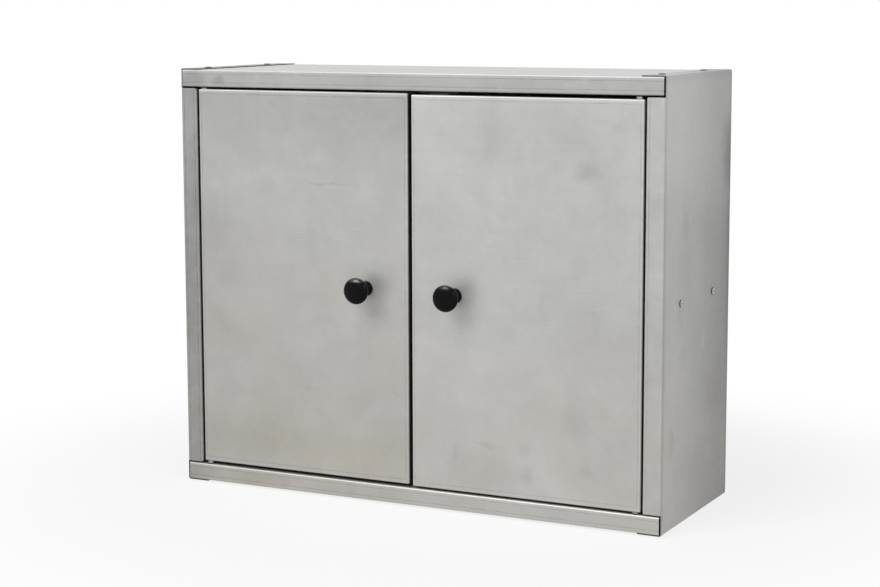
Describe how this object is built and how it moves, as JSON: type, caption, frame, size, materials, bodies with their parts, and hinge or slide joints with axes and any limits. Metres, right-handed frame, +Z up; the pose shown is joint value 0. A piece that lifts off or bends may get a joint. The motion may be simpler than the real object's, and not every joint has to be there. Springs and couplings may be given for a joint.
{
  "type": "wall tool cabinet",
  "caption": "Shallow wall cabinet of folded galvanised sheet steel with a shelf on riveted brackets and paired doors that swing on pivot pins, each with a black knob and a magnetic catch.",
  "frame": {"origin": "centre of the bounding box on its lowest level, under the heads of the bottom rivets", "axes": "+X to the right seen from the front, +Y from the doors to the wall, +Z up"},
  "size_m": [0.603, 0.2454, 0.493],
  "materials": {
    "sheet_steel": "matt galvanised sheet with a cloudy grain",
    "zinc_fitting": "bright zinc plate",
    "black_plastic": "satin black moulded plastic",
    "grey_plastic": "matt grey moulded plastic",
    "magnet": "ground steel pole faces"
  },
  "bodies": {
    "carcass": {"back_panel": "sheet_steel", "shelf": "sheet_steel", "top_panel": "sheet_steel", "bottom_panel": "sheet_steel", "side_panel_left": "sheet_steel", "rivet_top_left_1": "zinc_fitting", "rivet_top_left_2": "zinc_fitting", "rivet_bottom_left_1": "zinc_fitting", "rivet_bottom_left_2": "zinc_fitting", "rivet_shelf_left_1": "zinc_fitting", "rivet_shelf_left_2": "zinc_fitting", "shelf_bracket_left": "sheet_steel", "pivot_pin_top_left": "zinc_fitting", "pivot_pin_bottom_left": "zinc_fitting", "pivot_washer_top_left_1": "zinc_fitting", "pivot_washer_top_left_2": "zinc_fitting", "pivot_washer_bottom_left_1": "zinc_fitting", "pivot_washer_bottom_left_2": "zinc_fitting", "pivot_washer_bottom_left_3": "zinc_fitting", "catch_body_left": "grey_plastic", "catch_magnet_left": "magnet", "side_panel_right": "sheet_steel", "rivet_top_right_1": "zinc_fitting", "rivet_top_right_2": "zinc_fitting", "rivet_bottom_right_1": "zinc_fitting", "rivet_bottom_right_2": "zinc_fitting", "rivet_shelf_right_1": "zinc_fitting", "rivet_shelf_right_2": "zinc_fitting", "shelf_bracket_right": "sheet_steel", "pivot_pin_top_right": "zinc_fitting", "pivot_pin_bottom_right": "zinc_fitting", "pivot_washer_bottom_right_1": "zinc_fitting", "pivot_washer_bottom_right_2": "zinc_fitting", "pivot_washer_top_right_1": "zinc_fitting", "pivot_washer_top_right_2": "zinc_fitting", "pivot_washer_top_right_3": "zinc_fitting", "catch_body_right": "grey_plastic", "catch_magnet_right": "magnet", "catch_screw_1": "zinc_fitting", "catch_screw_2": "zinc_fitting", "catch_screw_3": "zinc_fitting", "catch_screw_4": "zinc_fitting"},
    "left_door": {"door_left": "sheet_steel", "knob_left": "black_plastic", "knob_screw_left": "zinc_fitting", "knob_washer_left": "zinc_fitting"},
    "right_door": {"door_right": "sheet_steel", "knob_right": "black_plastic", "knob_screw_right": "zinc_fitting", "knob_washer_right": "zinc_fitting"}
  },
  "joints": [
    {"name": "left_door_hinge", "type": "hinge", "parent": "carcass", "child": "left_door", "pos_m": [-0.27, -0.08875, 0.247], "axis": [0, 0, -1], "range_deg": [0, 120]},
    {"name": "right_door_hinge", "type": "hinge", "parent": "carcass", "child": "right_door", "pos_m": [0.27, -0.08875, 0.246], "axis": [0, 0, 1], "range_deg": [0, 120]}
  ]
}
